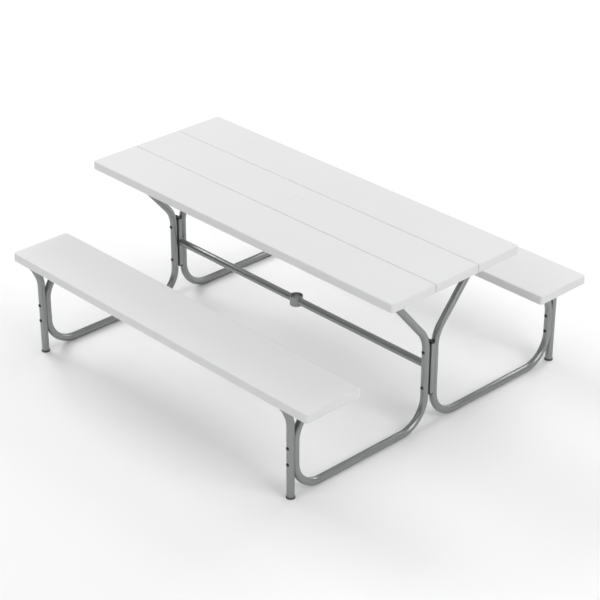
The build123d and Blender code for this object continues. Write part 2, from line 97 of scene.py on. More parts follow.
def wire(tree, kind, inputs, **options):
    """Adds a node, sets its options, then links or sets its inputs; gives back its outputs."""
    node = tree.nodes.new(kind)
    for option, value in options.items():
        setattr(node, option, value)
    for key, value in inputs.items():
        for one in value if isinstance(value, list) else [value]:
            if isinstance(one, bpy.types.NodeSocket):
                tree.links.new(one, node.inputs[key])
            else:
                node.inputs[key].default_value = one
    return node.outputs


def calc(tree, operation, first, second=0.0):
    """One Math node's result."""
    return wire(tree, "ShaderNodeMath", {0: first, 1: second}, operation=operation)[0]


def point(tree, x=0.0, y=0.0, z=0.0):
    """A vector from three numbers or sockets."""
    return wire(tree, "ShaderNodeCombineXYZ", {"X": x, "Y": y, "Z": z})[0]


def position(tree):
    """The X, Y and Z of each point."""
    here = wire(tree, "GeometryNodeInputPosition", {})[0]
    return wire(tree, "ShaderNodeSeparateXYZ", {0: here})


def circle(tree, sides, radius):
    """A circle as a curve."""
    size = {"Resolution": sides, "Radius": radius}
    return wire(tree, "GeometryNodeCurvePrimitiveCircle", size)[0]


def swept(tree, curve, section, caps=False):
    """The wall that a section makes when it is run along a curve."""
    run = {"Curve": curve, "Profile Curve": section, "Fill Caps": caps}
    return wire(tree, "GeometryNodeCurveToMesh", run)[0]


def handed_out(tree, geometry, material, output):
    """Ends a tree: real geometry, with its material."""
    whole = wire(tree, "GeometryNodeRealizeInstances", {"Geometry": geometry})[0]
    painted = {"Geometry": whole, "Material": material}
    tree.links.new(wire(tree, "GeometryNodeSetMaterial", painted)[0], output)


def rim(tree, mesh, height, upper):
    """The open edge of a swept wall that lies above (or below) a height, as a curve."""
    faces = wire(tree, "GeometryNodeInputMeshEdgeNeighbors", {})[0]
    is_open = calc(tree, "LESS_THAN", faces, 1.5)
    side = calc(tree, "GREATER_THAN" if upper else "LESS_THAN", position(tree)[2], height)
    chosen = calc(tree, "MULTIPLY", is_open, side)
    return wire(tree, "GeometryNodeMeshToCurve", {"Mesh": mesh, "Selection": chosen})[0]


def moved(tree, geometry, **by):
    """The geometry moved along x, y or z."""
    move = {"Geometry": geometry, "Translation": point(tree, **by)}
    return wire(tree, "GeometryNodeTransform", move)[0]


def joined(tree, parts):
    """Several geometries as one."""
    return wire(tree, "GeometryNodeJoinGeometry", {"Geometry": parts})[0]


def filleted(tree, curve, steps, radius, limit=False):
    """A curve with its corners rounded."""
    rounding = {"Curve": curve, "Count": steps, "Radius": radius, "Limit Radius": limit}
    return wire(tree, "GeometryNodeFilletCurve", rounding, mode="POLY")[0]


def section_curve(tree, corners, radii, steps):
    """An open profile through four corners, with its two middle corners rounded."""
    places = {f"Point {number + 1}": corner for number, corner in enumerate(corners)}
    kind = "GeometryNodeCurvePrimitiveQuadrilateral"
    loop = wire(tree, kind, places, mode="POINTS")[0]
    cyclic = {"Geometry": loop, "Cyclic": False}
    line = wire(tree, "GeometryNodeSetSplineCyclic", cyclic)[0]
    index = wire(tree, "GeometryNodeInputIndex", {})[0]
    first = calc(tree, "MULTIPLY", calc(tree, "COMPARE", index, 1.0), radii[0])
    second = calc(tree, "MULTIPLY", calc(tree, "COMPARE", index, 2.0), radii[1])
    return filleted(tree, line, steps, calc(tree, "ADD", first, second))


cup_tree, given, result = new_tree(
    "GeometryNodeTree",
    "pressed cup",
    [
        ("Outline", "Geometry", None),
        ("Depth", "Float", 0.03),
        ("Draw in", "Float", 0.007),
        ("Lip", "Float", 0.001),
        ("Floor edge", "Float", 0.003),
        ("Land", "Float", 0.0006),
    ],
    [("Cup", "Geometry"), ("Mouth", "Geometry")],
)
cup_top = calc(cup_tree, "MULTIPLY", given["Depth"], -1.0)
cup_in = calc(cup_tree, "MULTIPLY", given["Draw in"], -1.0)
cup_end = calc(cup_tree, "SUBTRACT", cup_in, given["Floor edge"])
cup_section = section_curve(
    cup_tree,
    [
        point(cup_tree, calc(cup_tree, "ADD", given["Lip"], given["Land"])),
        point(cup_tree),
        point(cup_tree, cup_in, cup_top),
        point(cup_tree, calc(cup_tree, "SUBTRACT", cup_end, given["Land"]), cup_top),
    ],
    [given["Lip"], given["Floor edge"]],
    4,
)
cup_wall = swept(cup_tree, given["Outline"], cup_section)
cup_middle = calc(cup_tree, "MULTIPLY", given["Depth"], 0.5)
cup_floor_edge = rim(cup_tree, cup_wall, cup_middle, True)
cup_floor = wire(cup_tree, "GeometryNodeFillCurve", {"Curve": cup_floor_edge}, mode="NGONS")[0]
cup_floor = moved(cup_tree, cup_floor, z=given["Depth"])
cup_tree.links.new(joined(cup_tree, [cup_wall, cup_floor]), result["Cup"])
cup_tree.links.new(rim(cup_tree, cup_wall, cup_middle, False), result["Mouth"])

board_tree, given, result = new_tree(
    "GeometryNodeTree",
    "moulded board",
    [
        ("Place", "Geometry", None),
        ("Length", "Float", plank_length),
        ("Width", "Float", plank_width),
        ("Thickness", "Float", board_thickness),
        ("Front corner", "Float", outer_corner),
        ("Rear corner", "Float", outer_corner),
        ("Top edge", "Float", top_edge_radius),
        ("Bottom edge", "Float", bottom_edge_radius),
        ("Skin", "Float", 0.0032),
        ("Dimple length", "Float", 0.110),
        ("End dimple length", "Float", 0.056),
        ("Dimple width", "Float", 0.036),
        ("Dimple draw in", "Float", 0.0075),
        ("Dimple pitch", "Float", 0.140),
        ("Dimple columns", "Int", 11),
        ("End dimple X", "Float", 0.842),
        ("Row offset", "Float", plank_row_offset),
        ("Vent radius", "Float", 0.0035),
        ("Vent X", "Float", 0.630),
        ("Umbrella hole", "Bool", False),
        ("Hole X", "Float", umbrella_x),
        ("Hole radius", "Float", hole_radius),
        ("Ledge radius", "Float", ledge_radius),
        ("Ledge depth", "Float", ledge_depth),
        ("Plastic", "Material", None),
    ],
    [("Board", "Geometry")],
)


def rounded_rectangle(tree, length, width, radius, steps):
    """A closed curve round a rectangle with rounded corners."""
    size = {"Width": length, "Height": width}
    kind = "GeometryNodeCurvePrimitiveQuadrilateral"
    loop = wire(tree, kind, size, mode="RECTANGLE")[0]
    return filleted(tree, loop, steps, radius, limit=True)


def placed(tree, shape, places):
    """A copy of a shape at each place, as real geometry."""
    kind = "GeometryNodeInstanceOnPoints"
    copies = wire(tree, kind, {"Points": places, "Instance": shape})[0]
    return wire(tree, "GeometryNodeRealizeInstances", {"Geometry": copies})[0]


in_front = calc(board_tree, "LESS_THAN", position(board_tree)[1], 0.0)
behind = calc(board_tree, "SUBTRACT", 1.0, in_front)
front_part = calc(board_tree, "MULTIPLY", in_front, given["Front corner"])
rear_part = calc(board_tree, "MULTIPLY", behind, given["Rear corner"])
corner_radius = calc(board_tree, "ADD", front_part, rear_part)
board_outline = rounded_rectangle(
    board_tree, given["Length"], given["Width"], corner_radius, 8
)
board_rise = calc(board_tree, "MULTIPLY", given["Thickness"], -1.0)
edge_land = 0.0005
top_start = calc(board_tree, "SUBTRACT", -edge_land, given["Top edge"])
bottom_end = calc(board_tree, "SUBTRACT", -edge_land, given["Bottom edge"])
edge_section = section_curve(
    board_tree,
    [
        point(board_tree, top_start, board_rise),
        point(board_tree, 0.0, board_rise),
        point(board_tree),
        point(board_tree, bottom_end),
    ],
    [given["Top edge"], given["Bottom edge"]],
    7,
)
board_edge = swept(board_tree, board_outline, edge_section)
board_middle = calc(board_tree, "MULTIPLY", given["Thickness"], 0.5)
top_rims = [rim(board_tree, board_edge, board_middle, True)]
bottom_rims = [rim(board_tree, board_edge, board_middle, False)]

dimple_depth = calc(board_tree, "SUBTRACT", given["Thickness"], given["Skin"])
row_spacing = calc(board_tree, "MULTIPLY", given["Row offset"], 2.0)
gaps = calc(board_tree, "SUBTRACT", given["Dimple columns"], 1.0)
main_grid = {
    "Size X": calc(board_tree, "MULTIPLY", gaps, given["Dimple pitch"]),
    "Size Y": row_spacing,
    "Vertices X": given["Dimple columns"],
    "Vertices Y": 2,
}
end_grid = {
    "Size X": calc(board_tree, "MULTIPLY", given["End dimple X"], 2.0),
    "Size Y": row_spacing,
    "Vertices X": 2,
    "Vertices Y": 2,
}
vent_step = point(board_tree, calc(board_tree, "MULTIPLY", given["Vent X"], 2.0))
vent_start = point(board_tree, calc(board_tree, "MULTIPLY", given["Vent X"], -1.0))
vent_line = {"Count": 2, "Start Location": vent_start, "Offset": vent_step}
# A little under half the width, so that a slot's end, drawn in, never crosses itself.
slot_corner_share = 0.46
slot_corner = calc(board_tree, "MULTIPLY", given["Dimple width"], slot_corner_share)
board_parts = [board_edge]
for length_name, grid in (("Dimple length", main_grid), ("End dimple length", end_grid)):
    slot_curve = rounded_rectangle(
        board_tree, given[length_name], given["Dimple width"], slot_corner, 9
    )
    pressed = {"Outline": slot_curve, "Depth": dimple_depth, "Draw in": given["Dimple draw in"]}
    cup = wire(board_tree, "GeometryNodeGroup", pressed, node_tree=cup_tree)
    spots = wire(board_tree, "GeometryNodeMeshGrid", grid)[0]
    board_parts.append(placed(board_tree, cup["Cup"], spots))
    bottom_rims.append(placed(board_tree, cup["Mouth"], spots))
drilled = {
    "Outline": circle(board_tree, 16, given["Vent radius"]),
    "Depth": 0.006,
    "Draw in": 0.0,
    "Lip": 0.0004,
    "Floor edge": 0.0004,
}
vent = wire(board_tree, "GeometryNodeGroup", drilled, node_tree=cup_tree)
spots = wire(board_tree, "GeometryNodeMeshLine", vent_line)[0]
board_parts.append(placed(board_tree, vent["Cup"], spots))
bottom_rims.append(placed(board_tree, vent["Mouth"], spots))

sleeve_circle = circle(board_tree, 64, given["Hole radius"])
ledge_rise = calc(board_tree, "SUBTRACT", given["Ledge depth"], given["Thickness"])
ledge_out = calc(board_tree, "SUBTRACT", given["Ledge radius"], given["Hole radius"])
sleeve_section = section_curve(
    board_tree,
    [
        point(board_tree),
        point(board_tree, 0.0, ledge_rise),
        point(board_tree, ledge_out, ledge_rise),
        point(board_tree, ledge_out, board_rise),
    ],
    [0.0005, 0.0005],
    2,
)
sleeve = swept(board_tree, sleeve_circle, sleeve_section)
sleeve = moved(board_tree, sleeve, x=given["Hole X"])
for parts, piece in (
    (top_rims, rim(board_tree, sleeve, board_middle, True)),
    (bottom_rims, rim(board_tree, sleeve, board_middle, False)),
    (board_parts, sleeve),
):
    choice = {"Switch": given["Umbrella hole"], "True": piece}
    parts.append(wire(board_tree, "GeometryNodeSwitch", choice, input_type="GEOMETRY")[0])
for rims, height in ((top_rims, given["Thickness"]), (bottom_rims, 0.0)):
    edges = {"Curve": joined(board_tree, rims)}
    face = wire(board_tree, "GeometryNodeFillCurve", edges, mode="TRIANGLES")[0]
    board_parts.append(moved(board_tree, face, z=height))
weld = {"Geometry": joined(board_tree, board_parts), "Distance": 0.00002}
whole = wire(board_tree, "GeometryNodeMergeByDistance", weld)[0]
whole = placed(board_tree, whole, given["Place"])
handed_out(board_tree, whole, given["Plastic"], result["Board"])


def base_points(name, places, runs=(), **values):
    """A mesh of loose points, or of runs between them, with a value of each kind per point."""
    mesh = bpy.data.meshes.new(name)
    mesh.from_pydata(places, runs, [])
    for label, numbers in values.items():
        kind = "FLOAT_VECTOR" if hasattr(numbers[0], "__len__") else "FLOAT"
        attribute = mesh.attributes.new(label, kind, "POINT")
        field = "vector" if kind == "FLOAT_VECTOR" else "value"
        for spot, number in zip(attribute.data, numbers):
            setattr(spot, field, number)
    return mesh


def grown(name, base, tree, sizes):
    """Runs a tree on a base mesh with sizes by input name, and keeps the result as a plain mesh."""
    piece = bpy.data.objects.new(name, base)
    scene.collection.objects.link(piece)
    maker = piece.modifiers.new("maker", "NODES")
    maker.node_group = tree
    for item in tree.interface.items_tree:
        if item.item_type == "SOCKET" and item.in_out == "INPUT" and item.name in sizes:
            maker[item.identifier] = sizes[item.name]
    graph = bpy.context.evaluated_depsgraph_get()
    piece.data = bpy.data.meshes.new_from_object(
        piece.evaluated_get(graph), preserve_all_data_layers=True, depsgraph=graph
    )
    piece.modifiers.clear()
    piece.data.name = name
    finishes = [material for material in piece.data.materials if material]
    piece.data.materials.clear()
    for material in finishes:
        piece.data.materials.append(material)
    piece.data.polygons.foreach_set("material_index", [0] * len(piece.data.polygons))
    return piece


def settle(piece, crease):
    """Turns a closed piece's faces outwards and shades it smooth up to a crease angle."""
    shell = bmesh.new()
    shell.from_mesh(piece.data)
    bmesh.ops.recalc_face_normals(shell, faces=shell.faces)
    shell.to_mesh(piece.data)
    shell.free()
    piece.data.shade_smooth()
    piece.data.set_sharp_from_angle(angle=radians(crease))
    return piece


grain_group, given, result = new_tree(
    "ShaderNodeTree",
    "fine grain",
    [("Size", "Float", 0.001), ("Pebble", "Float", 0.5)],
    [("Height", "Float")],
)
where = wire(grain_group, "ShaderNodeTexCoord", {})["Object"]
fineness = calc(grain_group, "DIVIDE", 1.0, given["Size"])
noise = wire(
    grain_group,
    "ShaderNodeTexNoise",
    {"Vector": where, "Scale": fineness, "Detail": 3.0, "Roughness": 0.6},
)["Fac"]
cells = wire(grain_group, "ShaderNodeTexVoronoi", {"Vector": where, "Scale": fineness})["Distance"]
pebbled = calc(grain_group, "MULTIPLY", cells, given["Pebble"])
plain = calc(grain_group, "MULTIPLY", noise, calc(grain_group, "SUBTRACT", 1.0, given["Pebble"]))
grain_group.links.new(calc(grain_group, "ADD", pebbled, plain), result["Height"])

drift_group, given, result = new_tree(
    "ShaderNodeTree",
    "slow drift",
    [
        ("Color", "Color", (0.8, 0.8, 0.8, 1.0)),
        ("Amount", "Float", 0.03),
        ("Size", "Float", 0.2),
        ("Roughness", "Float", 0.45),
        ("Roughness drift", "Float", 0.05),
    ],
    [("Color", "Color"), ("Roughness", "Float")],
)
where = wire(drift_group, "ShaderNodeTexCoord", {})["Object"]
coarseness = calc(drift_group, "DIVIDE", 1.0, given["Size"])
cloud = wire(
    drift_group,
    "ShaderNodeTexNoise",
    {"Vector": where, "Scale": coarseness, "Detail": 4.0, "Roughness": 0.55},
)["Fac"]
centred = calc(drift_group, "SUBTRACT", cloud, 0.5)
gain = calc(drift_group, "ADD", calc(drift_group, "MULTIPLY", centred, given["Amount"]), 1.0)
tinted = wire(
    drift_group, "ShaderNodeVectorMath", {0: given["Color"], "Scale": gain}, operation="SCALE"
)[0]
drift_group.links.new(tinted, result["Color"])
spread = calc(drift_group, "MULTIPLY", centred, given["Roughness drift"])
drift_group.links.new(calc(drift_group, "ADD", given["Roughness"], spread), result["Roughness"])


def finish(
    name,
    color,
    amount=0.2,
    size=0.02,
    roughness=0.5,
    spread=0.1,
    grain=0.0008,
    pebble=0.0,
    strength=0.2,
    depth=0.00008,
    **shader,
):
    """A surface finish: drifting colour and gloss, a fine grain, and fixed shader values."""
    material = bpy.data.materials.new(name)
    material.use_nodes = True
    tree = material.node_tree
    surface = tree.nodes["Principled BSDF"].inputs
    drifting = {
        "Color": (*color, 1.0),
        "Amount": amount,
        "Size": size,
        "Roughness": roughness,
        "Roughness drift": spread,
    }
    drift = wire(tree, "ShaderNodeGroup", drifting, node_tree=drift_group)
    tree.links.new(drift["Color"], surface["Base Color"])
    tree.links.new(drift["Roughness"], surface["Roughness"])
    grained = {"Size": grain, "Pebble": pebble}
    height = wire(tree, "ShaderNodeGroup", grained, node_tree=grain_group)["Height"]
    raised = {"Height": height, "Strength": strength, "Distance": depth}
    tree.links.new(wire(tree, "ShaderNodeBump", raised)["Normal"], surface["Normal"])
    for label, value in shader.items():
        surface[label.replace("_", " ")].default_value = value
    return material


board_plastic = finish(
    "white polyethylene",
    (0.69, 0.69, 0.695),
    amount=0.02,
    size=0.35,
    roughness=0.50,
    spread=0.08,
    grain=0.0014,
    pebble=0.55,
    strength=0.25,
    depth=0.0001,
    Specular_IOR_Level=0.4,
)

board_rows = [
    ("tabletop_plank_front", plank_length, plank_width, -plank_pitch, plank_underside),
    ("tabletop_plank_middle", plank_length, plank_width, 0.0, plank_underside),
    ("tabletop_plank_rear", plank_length, plank_width, plank_pitch, plank_underside),
    ("bench_seat_front", seat_length, seat_width, -seat_centre_y, seat_underside),
    ("bench_seat_rear", seat_length, seat_width, seat_centre_y, seat_underside),
]
for node, length, width, centre_y, underside in board_rows:
    is_seat = node.startswith("bench")
    sizes = {
        "Length": length,
        "Width": width,
        "Row offset": seat_row_offset if is_seat else plank_row_offset,
        "Front corner": outer_corner if is_seat or centre_y < 0 else seam_corner,
        "Rear corner": outer_corner if is_seat or centre_y > 0 else seam_corner,
        "Umbrella hole": node == "tabletop_plank_middle",
        "Plastic": board_plastic,
    }
    base = base_points(node + "_place", [(0.0, centre_y, underside)])
    board = settle(grown(node + "_board", base, board_tree, sizes), crease=35)
    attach(board, "table")
    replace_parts(board, node)

# ---------------------------------------------------------------------------------------------
# Long leg tubes. Round steel tube, bent cold: from the rail under the top, down the column, out
# along the floor and up to the seat. Powder-coated silver grey after it is bent and welded.
tube_radius = 0.016
tube_wall = 0.0015
frame_x = 0.7747
column_y = 0.0255
riser_y = 0.741
bench_leg_y = 0.7655
pressed_y = (riser_y + bench_leg_y) / 2
rail_wall = 0.002
strap_thickness = 0.005
splay_top = plank_underside - rail_wall
seat_tube_top = seat_underside - strap_thickness

tube_tree, given, result = new_tree(
    "GeometryNodeTree",
    "bent tube",
    [
        ("Route", "Geometry", None),
        ("Radius", "Float", tube_radius),
        ("Sides", "Int", 40),
        ("Bend steps", "Int", 22),
        ("Press from", "Float", 0.0),
        ("Press to", "Float", 1.0),
        ("Press low", "Float", 0.0),
        ("Press high", "Float", 1.0),
        ("Paint", "Material", None),
    ],
    [("Tube", "Geometry")],
)


def carried(tree, name, kind="FLOAT"):
    """A value that the points carry under a name."""
    return wire(tree, "GeometryNodeInputNamedAttribute", {"Name": name}, data_type=kind)[0]


line = wire(tube_tree, "GeometryNodeMeshToCurve", {"Mesh": given["Route"]})[0]
line = filleted(tube_tree, line, given["Bend steps"], carried(tube_tree, "bend"))
direction = wire(tube_tree, "GeometryNodeInputTangent", {})[0]
line = wire(
    tube_tree,
    "GeometryNodeStoreNamedAttribute",
    {"Geometry": line, "Name": "along", "Value": direction},
    data_type="FLOAT_VECTOR",
    domain="POINT",
)[0]
tube = swept(tube_tree, line, circle(tube_tree, given["Sides"], given["Radius"]))
# The saw cut: the end ring slides along the tube until it lies level at its cut height.
along = carried(tube_tree, "along", "FLOAT_VECTOR")
over = calc(tube_tree, "SUBTRACT", position(tube_tree)[2], carried(tube_tree, "cut"))
along_z = wire(tube_tree, "ShaderNodeSeparateXYZ", {0: along})[2]
slide = calc(tube_tree, "MULTIPLY", calc(tube_tree, "DIVIDE", over, along_z), -1.0)
shift = wire(tube_tree, "ShaderNodeVectorMath", {0: along, "Scale": slide}, operation="SCALE")[0]
above = calc(tube_tree, "GREATER_THAN", over, 0.0)
tube = wire(
    tube_tree, "GeometryNodeSetPosition", {"Geometry": tube, "Selection": above, "Offset": shift}
)[0]
# The press: where two tubes are bolted together, each is squeezed flat against the other.
spot = position(tube_tree)
reach = calc(tube_tree, "ABSOLUTE", spot[1])
reach = calc(tube_tree, "MINIMUM", reach, given["Press to"])
reach = calc(tube_tree, "MAXIMUM", reach, given["Press from"])
pressed = calc(tube_tree, "MULTIPLY", reach, calc(tube_tree, "SIGN", spot[1]))
high_enough = calc(tube_tree, "GREATER_THAN", spot[2], given["Press low"])
low_enough = calc(tube_tree, "LESS_THAN", spot[2], given["Press high"])
tube = wire(
    tube_tree,
    "GeometryNodeSetPosition",
    {
        "Geometry": tube,
        "Selection": calc(tube_tree, "MULTIPLY", high_enough, low_enough),
        "Position": point(tube_tree, spot[0], pressed, spot[2]),
    },
)[0]
handed_out(tube_tree, tube, given["Paint"], result["Tube"])

frame_paint = finish(
    "silver powder coat",
    (0.30, 0.307, 0.304),
    amount=0.06,
    size=0.12,
    roughness=0.33,
    spread=0.08,
    grain=0.0016,
    strength=0.10,
    depth=0.00004,
    Metallic=0.82,
)


def route_mesh(name, x, side, places, bends, cuts):
    """A run of points in the plane of the end frame, with the bend and saw cut at each."""
    spots = [(x, side * y, z) for y, z in places]
    runs = [(start, start + 1) for start in range(len(spots) - 1)]
    return base_points(name, spots, runs, bend=bends, cut=cuts)


def applied(piece):
    """Keeps what a piece's modifiers make of it."""
    graph = bpy.context.evaluated_depsgraph_get()
    piece.data = bpy.data.meshes.new_from_object(piece.evaluated_get(graph))
    piece.modifiers.clear()
    return piece


def in_frame(piece, node, crease):
    """Settles a piece of the welded frame and stands it for its node."""
    settle(piece, crease)
    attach(piece, "table")
    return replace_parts(piece, node)


def make_tube(node, base, sizes):
    """Sweeps a tube, gives it its wall and stands it for its node."""
    piece = grown(node + "_tube", base, tube_tree, {**sizes, "Paint": frame_paint})
    wall = piece.modifiers.new("wall", "SOLIDIFY")
    wall.thickness = tube_wall
    wall.offset = -1.0
    return in_frame(applied(piece), node, crease=50)


ends = (("left", -1), ("right", 1))
sides = (("front", -1), ("rear", 1))
splay_angle = 40.7
riser_angle = 34.0
splay_slope = tan(radians(splay_angle))
riser_lean = tan(radians(riser_angle))
spare = 0.040
splay_corner = 0.411
riser_corner = 0.2815
riser_press_low = 0.060
riser_press_high = 0.320
never = 2.0
leg_route = [
    (column_y + (splay_top + spare - splay_corner) * splay_slope, splay_top + spare),
    (column_y, splay_corner),
    (column_y, tube_radius),
    (riser_y, tube_radius),
    (riser_y, riser_corner),
    (riser_y - (seat_tube_top + spare - riser_corner) * riser_lean, seat_tube_top + spare),
]
leg_bends = [0.0, 0.140, 0.130, 0.130, 0.135, 0.0]
leg_cuts = [splay_top, never, never, never, never, seat_tube_top]
for end_name, end in ends:
    for side_name, side in sides:
        node = f"leg_tube_{end_name}_{side_name}"
        base = route_mesh(node, end * frame_x, side, leg_route, leg_bends, leg_cuts)
        press = {
            "Press to": pressed_y,
            "Press low": riser_press_low,
            "Press high": riser_press_high,
        }
        make_tube(node, base, press)

# ---------------------------------------------------------------------------------------------
# Bench legs. A short length of the same tube stands beside each riser and flares out under the
# seat; its inner side is pressed flat where two bolts draw it up against the riser.
flare_angle = 24.0
flare_slope = tan(radians(flare_angle))
flare_corner = 0.3455
press_low = 0.098
press_high = 0.290
press_ramp = 0.0047
bench_leg_route = [
    (bench_leg_y, 0.004),
    (bench_leg_y, press_low - press_ramp),
    (bench_leg_y, press_low),
    (bench_leg_y, press_high),
    (bench_leg_y, press_high + press_ramp),
    (bench_leg_y, flare_corner),
    (bench_leg_y + (seat_tube_top + spare - flare_corner) * flare_slope, seat_tube_top + spare),
]
bench_leg_bends = [0.0, 0.0, 0.0, 0.0, 0.0, 0.130, 0.0]
bench_leg_cuts = [never, never, never, never, never, never, seat_tube_top]
for end_name, end in ends:
    for side_name, side in sides:
        node = f"bench_leg_{end_name}_{side_name}"
        base = route_mesh(
            node, end * frame_x, side, bench_leg_route, bench_leg_bends, bench_leg_cuts
        )
        press = {
            "Press from": pressed_y,
            "Press low": press_low - press_ramp / 2,
            "Press high": press_high + press_ramp / 2,
        }
        make_tube(node, base, press)

# ---------------------------------------------------------------------------------------------
# Foot caps. A flared cup of dark plastic, pushed over the foot of each bench leg with a spigot
# inside the tube, so that the cut steel never stands on the ground.
foot_radius = 0.0188
foot_height = 0.009
foot_floor = 0.004
foot_taper = 8.0
foot_rim_radius = foot_radius - foot_height * tan(radians(foot_taper))
foot_toe_round = 0.0012
foot_rim_round = 0.0010
foot_socket_radius = tube_radius + 0.0001
spigot_radius = 0.0144
spigot_top = 0.020


def ring(radius, z, sides=0, steps=24):
    """Points round a circle, or round a polygon that the circle just fits in, at a height."""
    spots = []
    for step in range(steps):
        angle = 2 * pi * step / steps
        reach = radius
        if sides:
            sector = 2 * pi / sides
            reach = radius / cos((angle + sector / 2) % sector - sector / 2)
        spots.append((reach * cos(angle), reach * sin(angle), z))
    return spots


def rounding(radius, z, size, start, end, levels=4, **shape):
    """Rings along a quarter round whose arc is centred at a radius and a height."""
    turns = [radians(start + (end - start) * level / levels) for level in range(levels + 1)]
    return [ring(radius + size * cos(turn), z + size * sin(turn), **shape) for turn in turns]


def lofted(name, rings, closed=False):
    """A skin through rings of points, whose two ends are filled unless it closes on itself."""
    shell = bmesh.new()
    loops = [[shell.verts.new(spot) for spot in one] for one in rings]
    pairs = list(zip(loops, loops[1:]))
    if closed:
        pairs.append((loops[-1], loops[0]))
    else:
        shell.faces.new(loops[0][::-1])
        shell.faces.new(loops[-1])
    for low, high in pairs:
        for step in range(len(low)):
            follow = (step + 1) % len(low)
            shell.faces.new((low[step], low[follow], high[follow], high[step]))
    bmesh.ops.recalc_face_normals(shell, faces=shell.faces)
    mesh = bpy.data.meshes.new(name)
    shell.to_mesh(mesh)
    shell.free()
    return mesh


set_out_tree, given, result = new_tree(
    "GeometryNodeTree",
    "set out",
    [
        ("Places", "Geometry", None),
        ("Part", "Object", None),
        ("Facing", "Vector", (0.0, 0.0, 0.0)),
        ("Loose turn", "Float", 0.0),
        ("Seed", "Int", 7),
        ("Finish", "Material", None),
    ],
    [("Set", "Geometry")],
)
part_shape = wire(set_out_tree, "GeometryNodeObjectInfo", {"Object": given["Part"]})["Geometry"]
part_copies = wire(
    set_out_tree,
    "GeometryNodeInstanceOnPoints",
    {"Points": given["Places"], "Instance": part_shape, "Rotation": given["Facing"]},
)[0]
chance = wire(
    set_out_tree,
    "FunctionNodeRandomValue",
    {"Min": 0.0, "Max": given["Loose turn"], "Seed": given["Seed"]},
    data_type="FLOAT",
)["Value"]
part_copies = wire(
    set_out_tree,
    "GeometryNodeRotateInstances",
    {"Instances": part_copies, "Rotation": point(set_out_tree, z=chance), "Local Space": True},
)[0]
handed_out(set_out_tree, part_copies, given["Finish"], result["Set"])


def set_out(name, mesh, places, material, nodes, facing=(0.0, 0.0, 0.0), loose=0.0):
    """Copies a small part to each of its places, as one piece that stands for its nodes."""
    pattern = bpy.data.objects.new(name + "_pattern", mesh)
    sizes = {"Part": pattern, "Facing": facing, "Loose turn": loose, "Finish": material}
    base = base_points(name + "_places", places)
    piece = settle(grown(name, base, set_out_tree, sizes), crease=32)
    bpy.data.objects.remove(pattern)
    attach(piece, "table")
    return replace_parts(piece, *nodes)


foot_plastic = finish(
    "dark polypropylene", (0.075, 0.075, 0.078), size=0.03, pebble=0.3, strength=0.3
)
foot_shape = {"steps": 40}
foot_toe = foot_radius - foot_toe_round
foot_rim = foot_rim_radius - foot_rim_round
foot_rim_centre = foot_height - foot_rim_round
foot_mesh = lofted(
    "foot cap",
    [
        *rounding(foot_toe, foot_toe_round, foot_toe_round, -90, 0, **foot_shape),
        *rounding(foot_rim, foot_rim_centre, foot_rim_round, foot_taper, 90, **foot_shape),
        ring(foot_socket_radius, foot_height - 0.0003, **foot_shape),
        ring(foot_socket_radius, foot_floor, **foot_shape),
        ring(spigot_radius, foot_floor, **foot_shape),
        ring(spigot_radius, spigot_top - 0.0010, **foot_shape),
        ring(spigot_radius - 0.0008, spigot_top, **foot_shape),
    ],
)
foot_places = [(end * frame_x, side * bench_leg_y, 0.0) for _, end in ends for _, side in sides]
foot_nodes = [f"foot_cap_{end}_{side}" for end, _ in ends for side, _ in sides]
set_out("foot_caps", foot_mesh, foot_places, foot_plastic, foot_nodes)

# ---------------------------------------------------------------------------------------------
# Column posts. A short length of rectangular steel tube stands between the two columns of each
# end frame, bolted through them, and a black plastic plug closes it above and below.
black_plastic = finish(
    "black polypropylene",
    (0.022, 0.022, 0.024),
    size=0.05,
    roughness=0.45,
    pebble=0.3,
    strength=0.3,
)


def recolour(node, material):
    """Gives a piece that keeps its drawn shape its finish."""
    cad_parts[node].data.materials[0] = material


for end_name, _ in ends:
    recolour(f"column_post_{end_name}", frame_paint)
    for level in ("bottom", "top"):
        recolour(f"post_plug_{end_name}_{level}", black_plastic)

# ---------------------------------------------------------------------------------------------
# Stretchers and umbrella ring. One round tube runs from each post to a short upright sleeve in
# the middle, which holds the umbrella's pole; the tube ends are coped to it and welded.
for node in ("stretcher_tube_left", "stretcher_tube_right", "umbrella_ring"):
    recolour(node, frame_paint)

# ---------------------------------------------------------------------------------------------
# Top rails. An upturned channel of 2 mm steel at each end, folded from sheet, carries the three
# planks; the splayed tubes are welded inside it and the plank screws pass up through its web.
rail_half_width = 0.020
rail_depth = 0.024
rail_half_length = 0.325
rail_fold = 0.002
rail_edge = 0.0005


def channel_outline(x):
    """The section of a rail: its outside from foot to foot over the folds, then its inside."""
    top = plank_underside
    foot = top - rail_depth
    outside = rail_half_width
    inside = outside - rail_wall
    outline = [(x - outside, foot)]
    for side, start in ((-1, 180), (1, 90)):
        for step in range(5):
            turn = radians(start - 90 * step / 4)
            across = side * (outside - rail_fold) + rail_fold * cos(turn)
            outline.append((x + across, top - rail_fold + rail_fold * sin(turn)))
    outline += [(x + outside, foot), (x + inside, foot), (x + inside, top - rail_wall)]
    outline += [(x - inside, top - rail_wall), (x - inside, foot)]
    return outline


def stood(mesh):
    """A plain mesh of painted steel as a piece in the scene."""
    piece = bpy.data.objects.new(mesh.name, mesh)
    scene.collection.objects.link(piece)
    mesh.materials.append(frame_paint)
    return piece


def softened(piece, width):
    """Breaks a piece's sharp edges with a narrow round bevel."""
    bevel = piece.modifiers.new("edges", "BEVEL")
    bevel.width = width
    bevel.segments = 3
    bevel.limit_method = "ANGLE"
    bevel.angle_limit = radians(40)
    return applied(piece)


